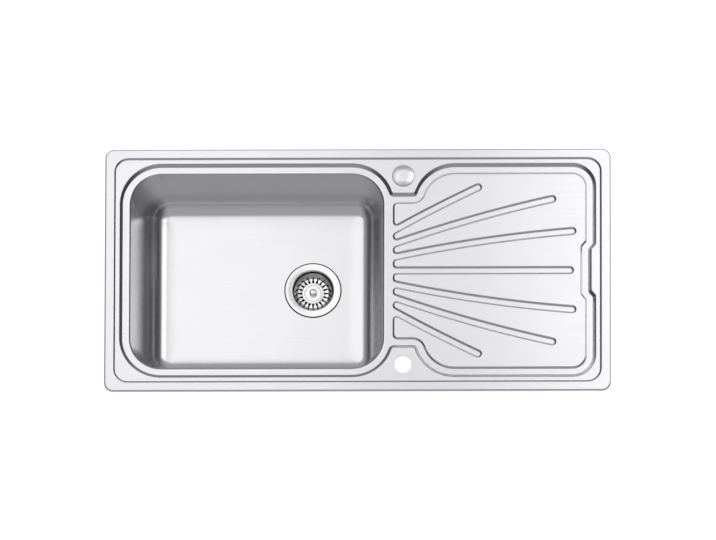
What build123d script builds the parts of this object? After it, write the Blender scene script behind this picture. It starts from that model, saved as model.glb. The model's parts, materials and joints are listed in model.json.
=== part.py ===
from build123d import *

import math
import os

# Inset kitchen sink: pressed steel deck with a large bowl on the left and a drainboard on
# the right, its strainer waste, the cover of its spare tap hole and its fixing clips.
# Millimetres. +X runs from the bowl to the drainboard, +Y to the back, +Z up.
# The origin is the centre of the deck's outline, in the plane of the worktop.

os.makedirs("parts", exist_ok=True)

# ---- Driving dimensions -------------------------------------------------------------

sheet = 1.0  # thickness of the deck and bowl
clearance = 0.3  # between faces of different pieces that only lie near each other
running_fit = 0.05  # radial clearance of a shaft in its hole
tiny = 0.01  # for telling which line a corner lies on

# Deck, levels over the worktop
deck_length = 1000.0
deck_width = 500.0
deck_corner = 18.0
rim_height = 5.0
deck_level = 2.0
channel_level = -4.0
plateau_level = -1.0
rim_round = 2.5  # rounding of the outer top edge
rim_band = 19.5  # from the outer edge to the middle of the first step
rim_step_corner = 27.0
wall_slope = 45.0  # of every pressed step
step_foot = 0.1  # upright foot of the step up to the drainboard
form_depth = 30.0  # how far the pressing forms reach below the worktop

# Well: the sunk channel round the bowl and the drainboard
well_inset = 32.0
well_drainer_corner = 44.0
island_length = 142.0  # from the bowl to the arc on the drainboard side of a tap island
island_reach = 38.0  # from a tap hole's centre to the end of its island
island_corner = 8.0
jog_depth = 9.0  # the well steps in at the middle of its right end
jog_top = 54.0
jog_bottom = 43.5
jog_corner = 5.0

# Drainboard plateau and its grooves
plateau_margin = 17.0  # width of the channel round it
mouth_offset = 21.0  # from the bowl to the drainboard's left edge
finger_round = 6.0
plateau_corner = 8.0
groove_width = 13.0
groove_pitch = 26.0  # at the left edge
groove_overrun = 9.0  # past the left edge
groove_bend = 2700.0
# ends of the grooves, as shares of the drainboard's length and half its width
middle_groove_end = 0.916
side_groove_ends = [(0.929, 0.403), (0.824, 0.734), (0.438, 0.856)]

# Bowl
bowl_margin = 50.0  # from the deck's edge to the bowl, on three sides
bowl_length = 500.0
bowl_corner = 62.0
bowl_floor = -150.0
bowl_draft = 7.8  # degrees
bowl_foot = 34.0  # radius between the walls and the floor
bowl_lip = 6.0  # flange that is welded into the deck
bowl_lip_round = 4.0
seat_depth = 3.0  # recess for the strainer flange
seat_gap = 1.0  # round the strainer flange

# Tap holes
tap_offset = 40.0  # from the bowl
tap_inset = 55.0  # from the front and back edges
tap_hole = 35.0

# Seal and pad
rim_seal_width = 6.0
rim_seal_inset = 4.0
pad_end = 65.0  # from the ends of the bowl's opening
pad_side = 85.0  # from its front and back
pad_corner = 20.0
pad_thickness = 3.0
pad_hole = 64.0  # radius

# Strainer waste
waste_offset = 141.0  # from the bowl's right side
waste_y = 5.0
cup_flange = 55.0  # radii
cup_throat = 41.0
cup_foot = 34.0
cup_seat_top = 8.0  # depths below the bowl floor
cup_seat_foot = 23.0
cup_depth = 38.0
cup_lip_round = 1.5
cup_outlets = 8
cup_outlet = 5.0
cup_outlet_ring = 21.0
flange_seal_inner = 48.0
flange_seal_outer = 54.0
body_seal_height = 3.0
body_wall = 2.5
body_gap = 3.0  # between the cup and the plastic body
body_flange = 54.0
body_depth = 52.0  # from the bowl floor to the body's cone
body_cone = 14.0
outlet_radius = 23.9  # outside of a 1 1/2 inch waste thread
outlet_bore = 19.5
outlet_length = 26.0
spider_arm = 4.0
spider_height = 6.0
insert_radius = 6.0
screw_radius = 3.0
screw_head = 6.0
screw_head_height = 3.0
screw_chamfer = 1.0
screw_slot = 1.5

# Basket
basket_sheet = 0.8
basket_rim_gap = 0.4  # between the basket's rim and the cup
basket_rim_depth = 3.0
basket_slot_out = 31.0
basket_slot_in = 22.5
basket_slot_width = 3.0
basket_slots = 20
basket_hub_rise = 3.0
basket_hub = 21.0
knob_radius = 7.0
knob_foot = 5.0
knob_neck_radius = 3.5
knob_height = 11.0
knob_neck_height = 4.4
knob_edge_height = 7.7
stem_radius = 4.0
spigot_radius = 2.0  # of the stem, riveted into the knob
basket_seal_wall = 2.0

# Tap hole cover
cap_radius = 22.2
cap_height = 5.0
cap_wall = 1.0
cap_seal_height = 1.0
cap_seal_inner = 18.5
cap_stud = 3.0
cap_stud_length = 32.0
bridge_length = 46.0
bridge_width = 14.0
bridge_thickness = 2.0
wing_nut_radius = 5.0
wing_nut_height = 6.0
wing_span = 26.0
wing_height = 10.0
wing_thickness = 1.6
wing_slope = 75.0  # of the ends of the wings, in degrees

# Clip rails, under the channel
rail_width = 9.0
rail_height = 10.0
rail_wall = 1.0
rail_slot = 4.6
bowl_rail_end = 100.0  # from the ends of the bowl to its rails
drainer_rail_end = 36.0  # from the rounded ends of the channel to its rails
left_rail_end = 120.0  # from the front and back of the bowl

# Fixing clips
clip_travel = 12.0
clip_width = 14.0
hanger_neck = 3.0
hanger_head = 2.0
hanger_drop = 36.0  # of its foot below the worktop
hanger_foot = 2.5
clip_reach = 9.0  # from the rail's middle to the screw
clip_screw_radius = 2.5
clip_screw_head = 4.5
clip_screw_head_height = 3.5
clip_screw_chamfer = 0.9
clip_screw_slot = 0.9
clip_screw_end = 5.0  # of the screw above the foot
jaw_gap = 0.5
jaw_thickness = 2.0
jaw_hub = 6.0
jaw_width = 10.0
jaw_length = 36.0
jaw_teeth = 3

# ---- Derived values -----------------------------------------------------------------

slope = math.tan(math.radians(wall_slope))
rim_step = rim_height - deck_level
well_step = deck_level - channel_level
plateau_rise = plateau_level - channel_level
well_right = deck_length / 2 - well_inset
well_top = deck_width / 2 - well_inset
bowl_width = deck_width - 2 * bowl_margin
bowl_x = -deck_length / 2 + bowl_margin + bowl_length / 2
bowl_right = bowl_x + bowl_length / 2
ledge_under = channel_level - sheet
well_bowl_corner = bowl_corner + well_top - bowl_width / 2
well_bowl_corner_y = well_top - well_bowl_corner
tap_x = bowl_right + tap_offset
tap_y = deck_width / 2 - tap_inset
island_edge = tap_y - island_reach
island_x_bowl = bowl_right - bowl_corner
island_x_drainer = bowl_right + island_length
mouth_x = bowl_right + mouth_offset
drainer_length = well_right - plateau_margin - mouth_x
drainer_half_width = well_top - plateau_margin
waste_x = bowl_right - waste_offset
seat_radius = cup_flange + seat_gap
seat_level = bowl_floor - seat_depth
throat_hole = cup_throat + sheet + cup_lip_round
far = 2 * deck_length


# ---- Shared forms -------------------------------------------------------------------


def draw_well(margin, spread):
    """Outline of the well, drawn in by margin, then let out by spread for a sloped wall."""
    inset = margin - spread
    left, right, top = -well_right + inset, well_right - inset, well_top - inset
    left_radius = well_bowl_corner - inset
    right_radius = well_drainer_corner - inset
    edge = island_edge - inset
    lean = math.degrees(math.asin((edge - well_bowl_corner_y) / left_radius))
    # a slanted jog keeps its width when it is offset
    half_turn = math.atan2(jog_depth, jog_top - jog_bottom) / 2
    jog_shift = inset * math.tan(half_turn)
    corner_y = well_bowl_corner_y
    with BuildLine() as outline:
        Line((left, 0), (left, corner_y))
        CenterArc((left + left_radius, corner_y), left_radius, 180, -90)
        Line((left + left_radius, top), (island_x_bowl, top))
        bowl_side = CenterArc((island_x_bowl, corner_y), left_radius, 90, lean - 90)
        drainer_side = CenterArc((island_x_drainer, corner_y), left_radius, 180 - lean, lean - 90)
        Line(bowl_side @ 1, drainer_side @ 0)
        Line(drainer_side @ 1, (right - right_radius, top))
        CenterArc((right - right_radius, top - right_radius), right_radius, 90, -90)
        Line((right, top - right_radius), (right, jog_top + jog_shift))
        Line((right, jog_top + jog_shift), (right - jog_depth, jog_bottom + jog_shift))
        Line((right - jog_depth, jog_bottom + jog_shift), (right - jog_depth, 0))
        mirror(about=Plane.XZ)
    make_face(outline.edges())


def round_well_corners(corners, margin, spread, left):
    """Rounds the jog of the outline that draw_well drew, and the tap islands right of left."""
    inset = margin - spread
    right = well_right - inset
    edge = island_edge - inset
    inside = right - jog_depth
    islands = [v for v in corners if abs(abs(v.Y) - edge) < tiny and v.X > left]
    outer_jog = [v for v in corners if abs(v.X - right) < tiny and abs(v.Y) < island_edge / 2]
    inner_jog = [v for v in corners if abs(v.X - inside) < tiny and abs(v.Y) < island_edge / 2]
    fillet(islands, island_corner + inset)
    fillet(outer_jog, jog_corner + spread)
    fillet(inner_jog, jog_corner - spread)


def draw_plateau(spread):
    """Outline of the raised drainboard with its grooves let in from the left."""
    draw_well(plateau_margin, spread)
    edge_x = mouth_x - spread
    with Locations((edge_x, 0)):
        Rectangle(far, far, align=(Align.MAX, Align.CENTER), mode=Mode.SUBTRACT)
    start_x = mouth_x - groove_overrun
    middle_end = (mouth_x + middle_groove_end * drainer_length, 0)
    spines = [Line((start_x, 0), middle_end, mode=Mode.PRIVATE)]
    for number, (along, across) in enumerate(side_groove_ends, 1):
        end_x = mouth_x + along * drainer_length
        end_y = across * drainer_half_width
        for side in (1, -1):
            start = (start_x, side * number * groove_pitch)
            end = (end_x, side * end_y)
            spines.append(RadiusArc(start, end, side * groove_bend, mode=Mode.PRIVATE))
    for spine in spines:
        SlotArc(spine, groove_width - 2 * spread, mode=Mode.SUBTRACT)


def face_at(part, level):
    """The level face of a part that lies at a level."""
    return part.faces().filter_by(Axis.Z).filter_by_position(Axis.Z, level - tiny, level + tiny)[0]


def pressing(drop, inset):
    """Solid under the pressed face of the deck, lowered by drop and drawn in by inset."""
    with BuildPart() as form:
        with BuildSketch(Plane.XY.offset(-form_depth)):
            RectangleRounded(
                deck_length - 2 * inset, deck_width - 2 * inset, deck_corner - inset
            )
        extrude(amount=form_depth + rim_height - drop)
        fillet(form.edges().group_by(Axis.Z)[-1], rim_round - inset)
        # step from the rim band down to the deck
        spread = rim_step * slope / 2
        with BuildSketch(Plane.XY.offset(rim_height - drop)):
            RectangleRounded(
                deck_length - 2 * rim_band + 2 * spread,
                deck_width - 2 * rim_band + 2 * spread,
                rim_step_corner + spread,
            )
        extrude(amount=-rim_step, taper=wall_slope, mode=Mode.SUBTRACT)
        # step from the deck down to the channel
        spread = well_step * slope / 2
        with BuildSketch(Plane.XY.offset(deck_level - drop)) as well:
            draw_well(0, spread)
            round_well_corners(well.vertices(), 0, spread, -far)
        extrude(amount=-well_step, taper=wall_slope, mode=Mode.SUBTRACT)
        # step up to the drainboard
        spread = plateau_rise * slope / 2
        with BuildSketch(Plane.XY.offset(channel_level - drop)) as plateau:
            draw_plateau(spread)
            round_well_corners(plateau.vertices(), plateau_margin, spread, tap_x)
            edge_x = mouth_x - spread
            mouths = plateau.vertices().filter_by(lambda v: abs(v.X - edge_x) < tiny).sort_by(Axis.Y)
            fillet(mouths[1:-1], finger_round + spread / 2)
            ends = plateau.vertices().filter_by(lambda v: abs(v.X - edge_x) < tiny).sort_by(Axis.Y)
            fillet([ends[0], ends[-1]], plateau_corner + spread)
        extrude(amount=plateau_rise)
        plateau_top = face_at(form.part, plateau_level - drop)
        chamfer(plateau_top.outer_wire().edges(), plateau_rise - step_foot)
    return form.part


# ---- Deck and bowl ------------------------------------------------------------------

top_form = pressing(0, 0)
under_form = pressing(sheet, sheet)

with BuildPart() as deck:
    add(top_form)
    add(under_form, mode=Mode.SUBTRACT)
    # the outer lip ends on the worktop, from the middle of the rim band outwards
    with BuildSketch():
        Rectangle(far, far)
        RectangleRounded(
            deck_length - rim_band, deck_width - rim_band, rim_step_corner, mode=Mode.SUBTRACT
        )
    extrude(amount=-form_depth, mode=Mode.SUBTRACT)
    with BuildSketch(Plane.XY.offset(-form_depth)):
        with Locations((bowl_x, 0)):
            RectangleRounded(
                bowl_length + 2 * bowl_lip, bowl_width + 2 * bowl_lip, bowl_corner + bowl_lip
            )
    extrude(amount=2 * form_depth, mode=Mode.SUBTRACT)
    with Locations((tap_x, tap_y, deck_level), (tap_x, -tap_y, deck_level)):
        Hole(tap_hole / 2)


def bowl_form(grow):
    """Solid of the drawn bowl, let out by grow on every side but the top."""
    with BuildPart() as form:
        with BuildSketch(Plane.XY.offset(channel_level)):
            with Locations((bowl_x, 0)):
                RectangleRounded(
                    bowl_length + 2 * grow, bowl_width + 2 * grow, bowl_corner + grow
                )
        extrude(amount=-(channel_level - bowl_floor + grow), taper=bowl_draft)
        fillet(form.edges().group_by(Axis.Z)[0], bowl_foot + grow)
    return form.part


def flange_edges(part, level):
    """Edges of the hole in the face of a part that lies at a level."""
    return face_at(part, level).inner_wires()[0].edges()


bowl_outside = bowl_form(sheet)
bowl_inside = bowl_form(0)

with BuildPart() as bowl:
    with BuildSketch(Plane.XY.offset(ledge_under)):
        with Locations((bowl_x, 0)):
            RectangleRounded(
                bowl_length + 2 * bowl_lip, bowl_width + 2 * bowl_lip, bowl_corner + bowl_lip
            )
    extrude(amount=sheet)
    add(bowl_outside)
    fillet(flange_edges(bowl.part, ledge_under), bowl_lip_round - sheet)
    with BuildSketch(Plane.XY.offset(seat_level - sheet)):
        with Locations((waste_x, waste_y)):
            Circle(seat_radius + sheet)
    extrude(amount=seat_depth + sheet)
    add(bowl_inside, mode=Mode.SUBTRACT)
    fillet(flange_edges(bowl.part, channel_level), bowl_lip_round)
    with Locations((waste_x, waste_y, bowl_floor)):
        CounterBoreHole(throat_hole, seat_radius, seat_depth)

with BuildPart() as sound_pad:
    with BuildSketch(Plane.XY.offset(bowl_floor - sheet)):
        with Locations((bowl_x, 0)):
            RectangleRounded(bowl_length - 2 * pad_end, bowl_width - 2 * pad_side, pad_corner)
        with Locations((waste_x, waste_y)):
            Circle(pad_hole, mode=Mode.SUBTRACT)
    extrude(amount=-pad_thickness)

with BuildPart() as rim_seal:
    with BuildSketch():
        for inset, mode in (
            (rim_seal_inset, Mode.ADD),
            (rim_seal_inset + rim_seal_width, Mode.SUBTRACT),
        ):
            RectangleRounded(
                deck_length - 2 * inset, deck_width - 2 * inset, deck_corner - inset, mode=mode
            )
    extrude(amount=rim_height - sheet)

# ---- Strainer waste -----------------------------------------------------------------

waste_plane = Plane((waste_x, waste_y, bowl_floor), x_dir=(1, 0, 0), z_dir=(0, -1, 0))
waste_axis = Axis((waste_x, waste_y, 0), (0, 0, 1))
waste_center = (waste_x, waste_y)

with BuildPart() as strainer_cup:
    with BuildSketch(waste_plane):
        with BuildLine():
            FilletPolyline(
                (cup_flange, 0),
                (cup_throat, 0),
                (cup_throat, -cup_seat_top),
                (cup_foot, -cup_seat_foot),
                (cup_foot, -cup_depth),
                (0, -cup_depth),
                radius=[cup_lip_round, cup_lip_round, cup_lip_round, 2 * cup_lip_round],
            )
            offset(amount=sheet, side=Side.LEFT)
        make_face()
    revolve(axis=waste_axis)
    with BuildSketch(Plane.XY.offset(bowl_floor - cup_depth)):
        with Locations(waste_center):
            Circle(screw_radius + clearance)
            with PolarLocations(cup_outlet_ring, cup_outlets):
                Circle(cup_outlet)
    extrude(amount=-2 * sheet, both=True, mode=Mode.SUBTRACT)


def ring(level, height, outer, inner):
    """Flat ring round the waste, from a level upwards."""
    with BuildPart() as washer:
        with BuildSketch(Plane.XY.offset(level)):
            with Locations(waste_center):
                Circle(outer)
                Circle(inner, mode=Mode.SUBTRACT)
        extrude(amount=height)
    return washer


flange_seal = ring(seat_level, seat_depth - sheet, flange_seal_outer, flange_seal_inner)
body_top = seat_depth + sheet + body_seal_height
body_seal = ring(bowl_floor - body_top, body_seal_height, body_flange, flange_seal_inner)

body_throat = cup_throat + sheet + body_gap
body_foot = cup_foot + sheet + body_gap
body_waist = cup_seat_foot + body_gap
spider_top = cup_depth + sheet

with BuildPart() as waste_body:
    with BuildSketch(waste_plane):
        with BuildLine():
            Polyline(
                (body_throat, -body_top),
                (body_throat, -body_top - body_gap),
                (body_foot, -body_waist),
                (body_foot, -body_depth),
                (outlet_bore, -body_depth - body_cone),
                (outlet_bore, -body_depth - body_cone - outlet_length),
                (outlet_radius, -body_depth - body_cone - outlet_length),
                (outlet_radius, -body_depth - body_cone),
                (body_foot + body_wall, -body_depth),
                (body_foot + body_wall, -body_waist),
                (body_throat + body_wall, -body_top - 2 * body_wall),
                (body_flange, -body_top - 2 * body_wall),
                (body_flange, -body_top),
                close=True,
            )
        make_face()
    revolve(axis=waste_axis)
    # the spider that holds the insert
    with BuildSketch(Plane.XY.offset(bowl_floor - spider_top)):
        with Locations(waste_center):
            Circle(insert_radius + spider_arm)
            Rectangle(2 * body_foot + body_wall, spider_arm)
            Rectangle(spider_arm, 2 * body_foot + body_wall)
            RegularPolygon(insert_radius, 6, mode=Mode.SUBTRACT)
    extrude(amount=-spider_height)

with BuildPart() as brass_insert:
    with BuildSketch(Plane.XY.offset(bowl_floor - spider_top)):
        with Locations(waste_center):
            RegularPolygon(insert_radius, 6)
            Circle(screw_radius + running_fit, mode=Mode.SUBTRACT)
    extrude(amount=-spider_height)

with BuildPart() as centre_screw:
    with BuildSketch(Plane.XY.offset(bowl_floor - cup_depth)):
        with Locations(waste_center):
            Circle(screw_head)
    extrude(amount=screw_head_height)
    chamfer(centre_screw.edges().group_by(Axis.Z)[-1], screw_chamfer)
    with BuildSketch(Plane.XY.offset(bowl_floor - cup_depth)):
        with Locations(waste_center):
            Circle(screw_radius)
    extrude(amount=-(sheet + 2 * spider_height))
    with BuildSketch(Plane.XY.offset(bowl_floor - cup_depth + screw_head_height)):
        with Locations(waste_center):
            Rectangle(far, screw_slot)
    extrude(amount=-screw_head_height / 2, mode=Mode.SUBTRACT)

# ---- Basket -------------------------------------------------------------------------

basket_rim = cup_throat - basket_rim_gap - basket_sheet
basket_low = cup_seat_foot
basket_floor = basket_low - basket_hub_rise
basket_run = (basket_rim - basket_slot_out) / (basket_floor - basket_rim_depth)
basket_skin = basket_sheet * math.hypot(1, basket_run)  # wall measured level
seat_run = (cup_throat - cup_foot) / (cup_seat_foot - cup_seat_top)


def basket_outside(depth):
    """Radius of the outer face of the basket's sloped wall."""
    return basket_rim - (depth - basket_rim_depth) * basket_run + basket_skin


def cup_seat(depth):
    """Radius of the cup's sloped seat."""
    return cup_throat - (depth - cup_seat_top) * seat_run


with BuildPart() as basket:
    with BuildSketch(waste_plane):
        with BuildLine():
            Polyline(
                (basket_rim, -basket_rim_depth),
                (basket_slot_out, -basket_floor),
                (basket_slot_in, -basket_low),
                (basket_hub, -basket_floor),
                (0, -basket_floor),
            )
            offset(amount=basket_sheet, side=Side.LEFT)
        make_face()
    revolve(axis=waste_axis)
    slot_middle = (basket_slot_in + basket_slot_out) / 2
    with BuildSketch(Plane.XY.offset(bowl_floor - basket_low)):
        with Locations(waste_center):
            Circle(spigot_radius + running_fit)
            with PolarLocations(slot_middle, basket_slots):
                SlotOverall(basket_slot_out - basket_slot_in - basket_sheet, basket_slot_width)
    extrude(amount=2 * basket_hub_rise, both=True, mode=Mode.SUBTRACT)

seal_top = cup_seat_top + basket_seal_wall
seal_foot = cup_seat_foot - 2 * basket_seal_wall
with BuildPart() as basket_seal:
    with BuildSketch(waste_plane):
        with BuildLine():
            Polyline(
                (basket_outside(seal_top), -seal_top),
                (cup_seat(seal_top) - 2 * clearance, -seal_top),
                (cup_seat(seal_foot) - 2 * clearance, -seal_foot),
                (basket_outside(seal_foot), -seal_foot),
                close=True,
            )
        make_face()
    revolve(axis=waste_axis)

hub_under = basket_floor + basket_sheet
screw_top = cup_depth - screw_head_height
grip_bore = screw_head + 2 * clearance
grip_radius = grip_bore + basket_seal_wall
spigot_top = basket_floor - knob_height / 2

with BuildPart() as basket_stem:
    with BuildSketch(waste_plane):
        with BuildLine():
            Polyline(
                (0, -spigot_top),
                (spigot_radius, -spigot_top),
                (spigot_radius, -hub_under),
                (stem_radius, -hub_under),
                (stem_radius, -screw_top + stem_radius),
                (grip_radius, -screw_top + basket_seal_wall),
                (grip_radius, -cup_depth + 2 * clearance),
                (grip_bore, -cup_depth + 2 * clearance),
                (grip_bore, -screw_top + 2 * clearance),
                (0, -screw_top + 2 * clearance),
                close=True,
            )
        make_face()
    revolve(axis=waste_axis)

knob_top = basket_floor - knob_height
with BuildPart() as basket_knob:
    with BuildSketch(waste_plane):
        with BuildLine():
            Polyline(
                (0, -knob_top),
                (0, -basket_floor),
                (knob_foot, -basket_floor),
                (knob_neck_radius, -basket_floor + knob_neck_height),
                (knob_radius, -basket_floor + knob_edge_height),
            )
            TangentArc((0, -knob_top), (knob_radius, -basket_floor + knob_edge_height), tangent=(1, 0))
        make_face()
    revolve(axis=waste_axis)
    with BuildSketch(Plane.XY.offset(bowl_floor - basket_floor)):
        with Locations(waste_center):
            Circle(spigot_radius + running_fit)
    extrude(amount=basket_floor - spigot_top + running_fit, mode=Mode.SUBTRACT)

# ---- Cover of the back tap hole -----------------------------------------------------

cap_plane = Plane((tap_x, tap_y, deck_level), x_dir=(1, 0, 0), z_dir=(0, -1, 0))
cap_axis = Axis((tap_x, tap_y, 0), (0, 0, 1))
deck_under = deck_level - sheet

with BuildPart() as tap_hole_cap:
    with BuildSketch(cap_plane):
        with BuildLine():
            TangentArc((0, cap_height), (cap_radius, cap_wall), tangent=(1, 0))
            Polyline(
                (cap_radius, cap_wall),
                (cap_radius, 0),
                (cap_radius - cap_wall, 0),
                (cap_radius - cap_wall, cap_seal_height),
                (cap_stud, cap_seal_height),
                (cap_stud, -cap_stud_length),
                (0, -cap_stud_length),
                (0, cap_height),
            )
        make_face()
    revolve(axis=cap_axis)

with BuildPart() as cap_seal:
    with BuildSketch(Plane.XY.offset(deck_level)):
        with Locations((tap_x, tap_y)):
            Circle(cap_radius - cap_wall - clearance)
            Circle(cap_seal_inner, mode=Mode.SUBTRACT)
    extrude(amount=cap_seal_height)

with BuildPart() as cap_bridge:
    with BuildSketch(Plane.XY.offset(deck_under - clearance)):
        with Locations((tap_x, tap_y)):
            SlotOverall(bridge_length, bridge_width)
            Circle(cap_stud + running_fit, mode=Mode.SUBTRACT)
    extrude(amount=-bridge_thickness)

nut_top = deck_under - 2 * clearance - bridge_thickness
with BuildPart() as wing_nut:
    with BuildSketch(cap_plane.offset(-wing_thickness / 2)):
        with Locations((0, nut_top - deck_level)):
            Trapezoid(
                wing_span, wing_height, wing_slope, wing_slope, rotation=180, align=(Align.CENTER, Align.MIN)
            )
    extrude(amount=wing_thickness)
    with BuildSketch(Plane.XY.offset(nut_top)):
        with Locations((tap_x, tap_y)):
            Circle(wing_nut_radius)
    extrude(amount=-wing_nut_height)
    with BuildSketch(Plane.XY.offset(nut_top)):
        with Locations((tap_x, tap_y)):
            Circle(cap_stud + running_fit)
    extrude(amount=-wing_height, mode=Mode.SUBTRACT)

# ---- Clip rails ---------------------------------------------------------------------

rail_inset = well_inset + plateau_margin / 2
rail_x = deck_length / 2 - rail_inset
rail_y = deck_width / 2 - rail_inset
right_rail_x = rail_x - jog_depth
bowl_rail_length = bowl_length - 2 * bowl_rail_end
bowl_clip_offset = bowl_rail_length / 3
channel_end = well_right - well_drainer_corner
drainer_rail_x = (island_x_drainer + channel_end) / 2
drainer_rail_length = channel_end - island_x_drainer - 2 * drainer_rail_end
left_rail_length = bowl_width - 2 * left_rail_end
right_rail_length = 2 * jog_bottom - plateau_margin


def place(x, y, turn):
    """Plane on the under side of the channel, whose x points out of the sink."""
    out = (math.cos(math.radians(turn)), math.sin(math.radians(turn)), 0)
    return Plane((x, y, ledge_under), x_dir=out, z_dir=(0, 0, 1))


def clip_rail(base, length):
    """Folded strip with a slot along its under side."""
    with BuildPart() as rail:
        with BuildSketch(base):
            Rectangle(rail_width, length)
        extrude(amount=-rail_height)
        with BuildSketch(base.offset(-rail_wall)):
            Rectangle(rail_width - 2 * rail_wall, length)
        extrude(amount=-(rail_height - 2 * rail_wall), mode=Mode.SUBTRACT)
        with BuildSketch(base.offset(-rail_height)):
            Rectangle(rail_slot, length)
        extrude(amount=2 * rail_wall, mode=Mode.SUBTRACT)
    return rail


rails = {
    "clip_rail_front_bowl": (place(bowl_x, -rail_y, -90), bowl_rail_length),
    "clip_rail_back_bowl": (place(bowl_x, rail_y, 90), bowl_rail_length),
    "clip_rail_front_drainer": (place(drainer_rail_x, -rail_y, -90), drainer_rail_length),
    "clip_rail_back_drainer": (place(drainer_rail_x, rail_y, 90), drainer_rail_length),
    "clip_rail_left": (place(-rail_x, 0, 180), left_rail_length),
    "clip_rail_right": (place(right_rail_x, 0, 0), right_rail_length),
}

# ---- Fixing clips -------------------------------------------------------------------

head_level = -(rail_height - rail_wall)  # levels from the under side of the channel
foot_top = -hanger_drop - ledge_under
foot_under = foot_top - hanger_foot
jaw_top = foot_under - clip_travel - jaw_gap
jaw_under = jaw_top - jaw_thickness
screw_head_top = jaw_under - running_fit
foot_length = clip_reach + jaw_hub + hanger_neck / 2


def clip_hanger(base):
    """Bracket that hangs in the slot of the rail and holds the screw."""
    with BuildPart() as hanger:
        with BuildSketch(base.offset(head_level)):
            Rectangle(rail_width - 2 * rail_wall - 2 * clearance, clip_width)
        extrude(amount=hanger_head)
        with BuildSketch(base.offset(head_level)):
            Rectangle(hanger_neck, clip_width)
        extrude(amount=foot_under - head_level)
        with BuildSketch(base.offset(foot_under)):
            with Locations((-hanger_neck / 2, 0)):
                Rectangle(foot_length, clip_width, align=(Align.MIN, Align.CENTER))
            with Locations((clip_reach, 0)):
                Circle(clip_screw_radius + running_fit, mode=Mode.SUBTRACT)
        extrude(amount=hanger_foot)
    return hanger


def clip_screw(base):
    """Screw with its head at the bottom, driven from below."""
    with BuildPart() as screw:
        with BuildSketch(base.offset(screw_head_top)):
            with Locations((clip_reach, 0)):
                Circle(clip_screw_radius)
        extrude(amount=foot_top + clip_screw_end - screw_head_top)
        with BuildSketch(base.offset(screw_head_top)):
            with Locations((clip_reach, 0)):
                Circle(clip_screw_head)
        extrude(amount=-clip_screw_head_height)
        chamfer(screw.edges().group_by(Axis.Z)[0], clip_screw_chamfer)
        with BuildSketch(base.offset(screw_head_top - clip_screw_head_height)):
            with Locations((clip_reach, 0)):
                Rectangle(clip_screw_head, clip_screw_slot)
                Rectangle(clip_screw_slot, clip_screw_head)
        extrude(amount=clip_screw_head_height / 2, mode=Mode.SUBTRACT)
    return screw


def clip_jaw(base):
    """Arm that swings out under the worktop, parked along the rail, with teeth at its end."""
    with BuildPart() as jaw:
        with BuildSketch(base.offset(jaw_under)):
            with Locations((clip_reach, 0)):
                Circle(jaw_hub)
                Rectangle(jaw_width, jaw_length, align=(Align.CENTER, Align.MIN))
                Circle(clip_screw_radius + running_fit, mode=Mode.SUBTRACT)
        extrude(amount=jaw_thickness)
        with BuildSketch(base.offset(jaw_under)):
            with Locations((clip_reach, jaw_length)):
                Rectangle(jaw_width, jaw_thickness, align=(Align.CENTER, Align.MAX))
        extrude(amount=foot_under - jaw_under)
        # notches between the teeth
        tooth = jaw_width / jaw_teeth
        end_plane = Plane(
            base.from_local_coords(Vector(clip_reach, jaw_length, foot_under)),
            x_dir=base.x_dir,
            z_dir=-base.y_dir,
        )
        with BuildSketch(end_plane):
            with GridLocations(tooth, 0, jaw_teeth - 1, 1):
                Polygon((-tooth / 2, 0), (0, -tooth / 2), (tooth / 2, 0), align=None)
        extrude(amount=2 * jaw_thickness, both=True, mode=Mode.SUBTRACT)
    return jaw


clip_places = [
    place(bowl_x - bowl_clip_offset, -rail_y, -90),
    place(bowl_x + bowl_clip_offset, -rail_y, -90),
    place(drainer_rail_x, -rail_y, -90),
    place(right_rail_x, 0, 0),
    place(drainer_rail_x, rail_y, 90),
    place(bowl_x + bowl_clip_offset, rail_y, 90),
    place(bowl_x - bowl_clip_offset, rail_y, 90),
    place(-rail_x, 0, 180),
]

# ---- Export -------------------------------------------------------------------------

pieces = {
    "deck": deck,
    "bowl": bowl,
    "sound_pad": sound_pad,
    "rim_seal": rim_seal,
    "strainer_cup": strainer_cup,
    "flange_seal": flange_seal,
    "body_seal": body_seal,
    "waste_body": waste_body,
    "brass_insert": brass_insert,
    "centre_screw": centre_screw,
    "basket": basket,
    "basket_seal": basket_seal,
    "basket_stem": basket_stem,
    "basket_knob": basket_knob,
    "tap_hole_cap": tap_hole_cap,
    "cap_seal": cap_seal,
    "cap_bridge": cap_bridge,
    "wing_nut": wing_nut,
}
for rail_name, (rail_base, rail_length) in rails.items():
    pieces[rail_name] = clip_rail(rail_base, rail_length)
for number, clip_base in enumerate(clip_places, 1):
    pieces[f"clip_{number}_hanger"] = clip_hanger(clip_base)
    pieces[f"clip_{number}_screw"] = clip_screw(clip_base)
    pieces[f"clip_{number}_jaw"] = clip_jaw(clip_base)

for name, piece in pieces.items():
    piece.part.label = name
    export_step(piece.part, f"parts/{name}.step")
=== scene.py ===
import json
import math

import bmesh
import bpy
from mathutils import Matrix, Vector


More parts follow.
